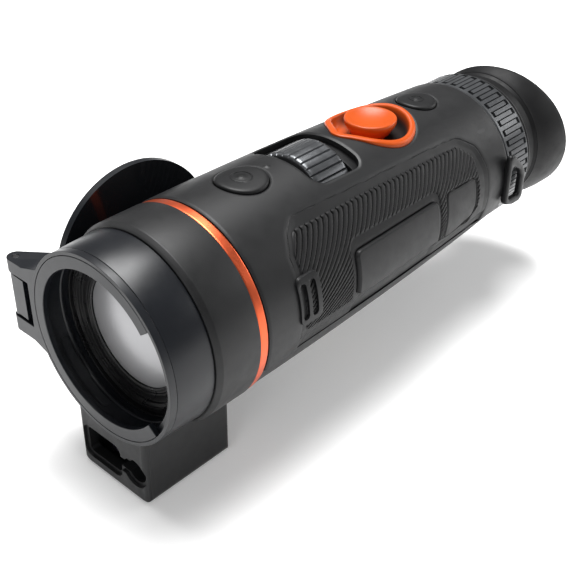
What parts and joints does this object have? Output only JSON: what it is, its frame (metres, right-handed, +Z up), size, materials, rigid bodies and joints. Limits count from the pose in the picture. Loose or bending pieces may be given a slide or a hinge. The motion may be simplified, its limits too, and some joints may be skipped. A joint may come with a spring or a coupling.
{
  "type": "thermal imaging monocular",
  "caption": "Handheld thermal imaging camera with rangefinder block, hinged lens cap, top buttons, focus wheel, dioptre ring and slanted eyecup.",
  "frame": {"origin": "centre of the objective mouth, in the plane of the front ring, on the optical axis", "axes": "+Y along the optical axis towards the eye, +Z up, +X to the side away from the cap hinge"},
  "size_m": [0.0715, 0.1966, 0.0788],
  "materials": {
    "anodised_barrel": "satin dark anodised",
    "steel": "satin",
    "cap_plastic": "glossy outside, satin rim",
    "black_rubber": "matt",
    "black_anodised": "matt black anodised",
    "germanium": "coated infrared lens, opaque to the eye",
    "soft_touch": "soft-touch paint",
    "orange_metal": "metallic orange",
    "grip_rubber": "moulded ribs, matt",
    "plate_plastic": "smooth satin",
    "lug_plastic": "satin",
    "button_rubber": "soft-touch",
    "orange_plastic": "satin orange",
    "white_plastic": "plain",
    "circuit_board": "solder mask",
    "black_plastic": "plain",
    "wheel_metal": "satin anodised",
    "grey_metal": "die cast",
    "battery_wrap": "shrink sleeve",
    "brass": "machined",
    "clear_glass": "coated",
    "lrf_glass": "dark red coating",
    "ring_metal": "satin anodised",
    "eyecup_rubber": "matt soft rubber"
  },
  "bodies": {
    "housing": {"objective_barrel": "anodised_barrel", "cap_ring": "anodised_barrel", "cap_flange": "anodised_barrel", "hinge_pin": "steel", "lens_retainer": "black_anodised", "front_lens": "germanium", "lens_guide": "black_anodised", "front_o_ring": "black_rubber", "front_collar": "soft_touch", "accent_band": "orange_metal", "top_shell": "soft_touch", "bottom_shell": "soft_touch", "grip_right": "grip_rubber", "grip_left": "grip_rubber", "side_plate_right": "plate_plastic", "side_plate_left": "plate_plastic", "strap_lug_right": "lug_plastic", "strap_lug_left": "lug_plastic", "strap_loop_right": "lug_plastic", "strap_loop_left": "lug_plastic", "menu_bezel": "orange_plastic", "button_switches": "white_plastic", "front_button_board": "circuit_board", "menu_board": "circuit_board", "power_board": "circuit_board", "wheel_surround": "black_plastic", "wheel_bracket": "black_plastic", "detector_module": "grey_metal", "detector_window": "germanium", "main_board": "circuit_board", "battery": "battery_wrap", "battery_contacts": "brass", "display_module": "black_plastic", "eyepiece_barrel": "black_anodised", "rear_o_ring": "black_rubber", "lrf_housing": "soft_touch", "lrf_optics": "lrf_glass", "lrf_board": "circuit_board", "lrf_base": "soft_touch", "lrf_screws": "steel", "shell_screws": "steel", "tripod_insert": "brass", "usb_port": "grey_metal"},
    "cap": {"lens_cap": "cap_plastic", "cap_liner": "black_rubber"},
    "focus": {"focus_wheel": "wheel_metal", "focus_shaft": "steel"},
    "lens_carriage": {"lens_cell": "black_anodised", "rear_lens": "germanium"},
    "button_front": {"front_button": "button_rubber"},
    "button_menu": {"menu_button": "orange_plastic"},
    "button_power": {"power_button": "button_rubber"},
    "dioptre": {"dioptre_ring": "ring_metal"},
    "eyepiece_carriage": {"eyepiece_cell": "black_anodised", "eyepiece_lenses": "clear_glass"},
    "eyeshade": {"eyecup_collar": "soft_touch", "eyecup": "eyecup_rubber"},
    "usb_flap": {"usb_cover": "black_rubber"}
  },
  "joints": [
    {"name": "cap_hinge", "type": "hinge", "parent": "housing", "child": "cap", "pos_m": [-0.0381, 0.0029, 0], "axis": [0, 0, 1], "range_deg": [0, 271.7]},
    {"name": "focus_turn", "type": "hinge", "parent": "housing", "child": "focus", "pos_m": [0, 0.08, 0.0158], "axis": [0, 1, 0], "range_deg": [-150, 150]},
    {"name": "focus_travel", "type": "slide", "parent": "housing", "child": "lens_carriage", "axis": [0, 1, 0], "range_m": [-0.0016, 0.0016]},
    {"name": "front_press", "type": "slide", "parent": "housing", "child": "button_front", "axis": [0, 0, -1], "range_m": [0, 0.0008], "stiffness_N_per_m": 800, "springref_m": -0.0005},
    {"name": "menu_press", "type": "slide", "parent": "housing", "child": "button_menu", "axis": [0, 0, -1], "range_m": [0, 0.0008], "stiffness_N_per_m": 800, "springref_m": -0.0005},
    {"name": "power_press", "type": "slide", "parent": "housing", "child": "button_power", "axis": [0, 0, -1], "range_m": [0, 0.0008], "stiffness_N_per_m": 800, "springref_m": -0.0005},
    {"name": "dioptre_turn", "type": "hinge", "parent": "housing", "child": "dioptre", "pos_m": [0, 0.162, 0], "axis": [0, 1, 0], "range_deg": [-60, 60]},
    {"name": "dioptre_travel", "type": "slide", "parent": "housing", "child": "eyepiece_carriage", "axis": [0, 1, 0], "range_m": [-0.0021, 0.0021]},
    {"name": "eyecup_turn", "type": "hinge", "parent": "housing", "child": "eyeshade", "pos_m": [0, 0.175, 0], "axis": [0, 1, 0], "continuous": true},
    {"name": "usb_cover_hinge", "type": "hinge", "parent": "housing", "child": "usb_flap", "pos_m": [0, 0.1368, -0.0268], "axis": [-1, 0, 0], "range_deg": [0, 100]}
  ],
  "couplings": [
    {"joint": "focus_travel", "follows": "focus_turn", "m_per_rad": 0.0006},
    {"joint": "dioptre_travel", "follows": "dioptre_turn", "m_per_rad": 0.0019}
  ]
}
